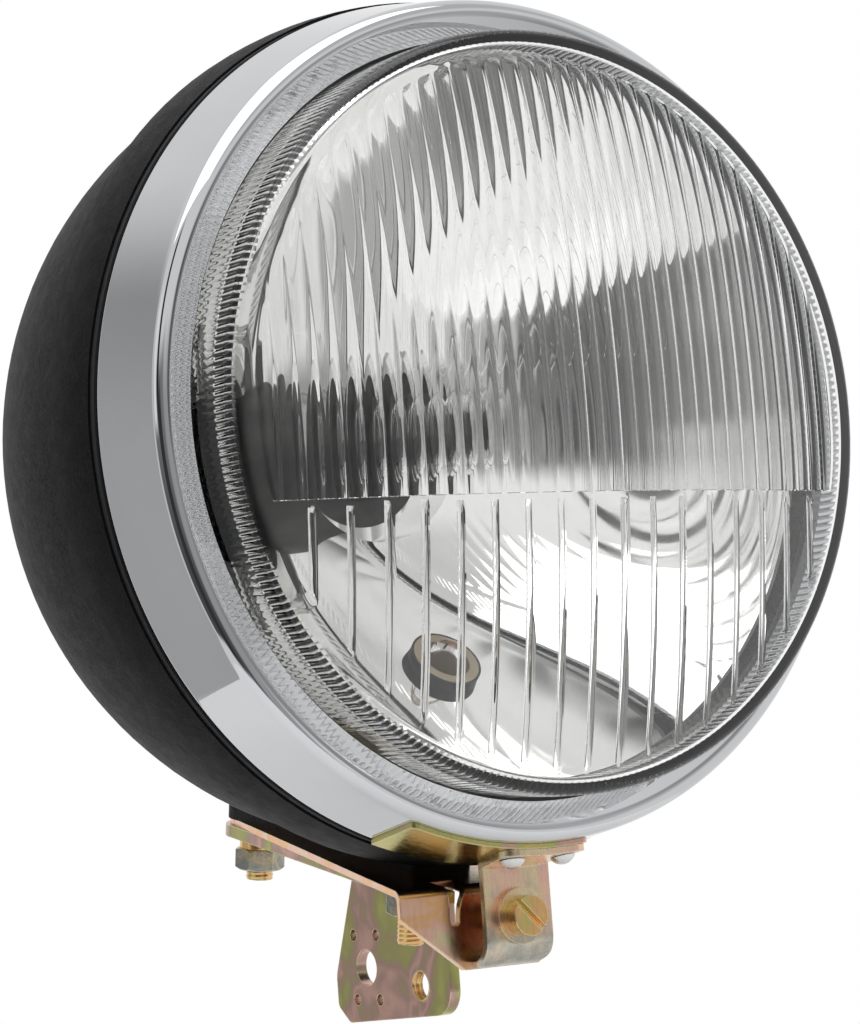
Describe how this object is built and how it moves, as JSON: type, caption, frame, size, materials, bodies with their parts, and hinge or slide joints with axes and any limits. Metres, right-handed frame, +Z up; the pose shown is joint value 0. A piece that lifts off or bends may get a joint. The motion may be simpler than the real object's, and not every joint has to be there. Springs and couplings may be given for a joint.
{
  "type": "motorcycle headlight",
  "caption": "Round motorcycle headlight: fluted domed glass in a chrome rim, black domed housing, and a yellow-zinc bracket below with a drilled mounting plate.",
  "frame": {"origin": "centre of the clear hole in the bracket's side plate, at mid thickness", "axes": "+X to the lamp's left as it faces forward and along the plate's holes, -Y forward out of the glass along the lamp's axis, +Z up"},
  "size_m": [0.1862, 0.1552, 0.2216],
  "materials": {
    "housing_plastic": "fine-grained black moulded plastic",
    "black_plastic": "black moulded plastic",
    "rubber": "black rubber",
    "chrome": "polished chrome plate",
    "zinc": "yellow-passivated zinc plate with pink and green tints",
    "clip_zinc": "pale yellow-passivated zinc plate",
    "screw_zinc": "gold-passivated zinc plate",
    "nut_zinc": "iridescent clear zinc plate",
    "rivet": "satin aluminium",
    "lens_glass": "clear pressed glass",
    "bulb_glass": "clear bulb glass",
    "mirror": "vacuum-coated aluminium mirror",
    "spring_steel": "bare spring steel",
    "bulb_metal": "plated bulb metal",
    "pilot_plastic": "off-white heat-proof plastic"
  },
  "bodies": {
    "root": {"housing": "housing_plastic", "housing_gasket": "rubber", "cable_grommet": "rubber", "rim": "chrome", "rim_hook": "zinc", "rim_lug": "zinc", "lug_rivets": "rivet", "clamp_clip": "clip_zinc", "clamp_screw": "screw_zinc", "clamp_washer": "clip_zinc", "clamp_nut": "nut_zinc", "lens": "lens_glass", "lens_seal": "rubber", "reflector": "mirror", "retaining_springs": "spring_steel", "main_bulb_glass": "bulb_glass", "main_bulb_base": "bulb_metal", "bulb_shield": "bulb_metal", "bulb_retainer": "bulb_metal", "bulb_connector": "black_plastic", "pilot_holder": "pilot_plastic", "pilot_bulb_glass": "bulb_glass", "pilot_bulb_base": "bulb_metal", "saddle_bracket": "zinc", "mount_bracket": "zinc", "bracket_screws": "screw_zinc", "lock_washers": "screw_zinc", "bracket_nuts": "nut_zinc"}
  },
  "joints": []
}
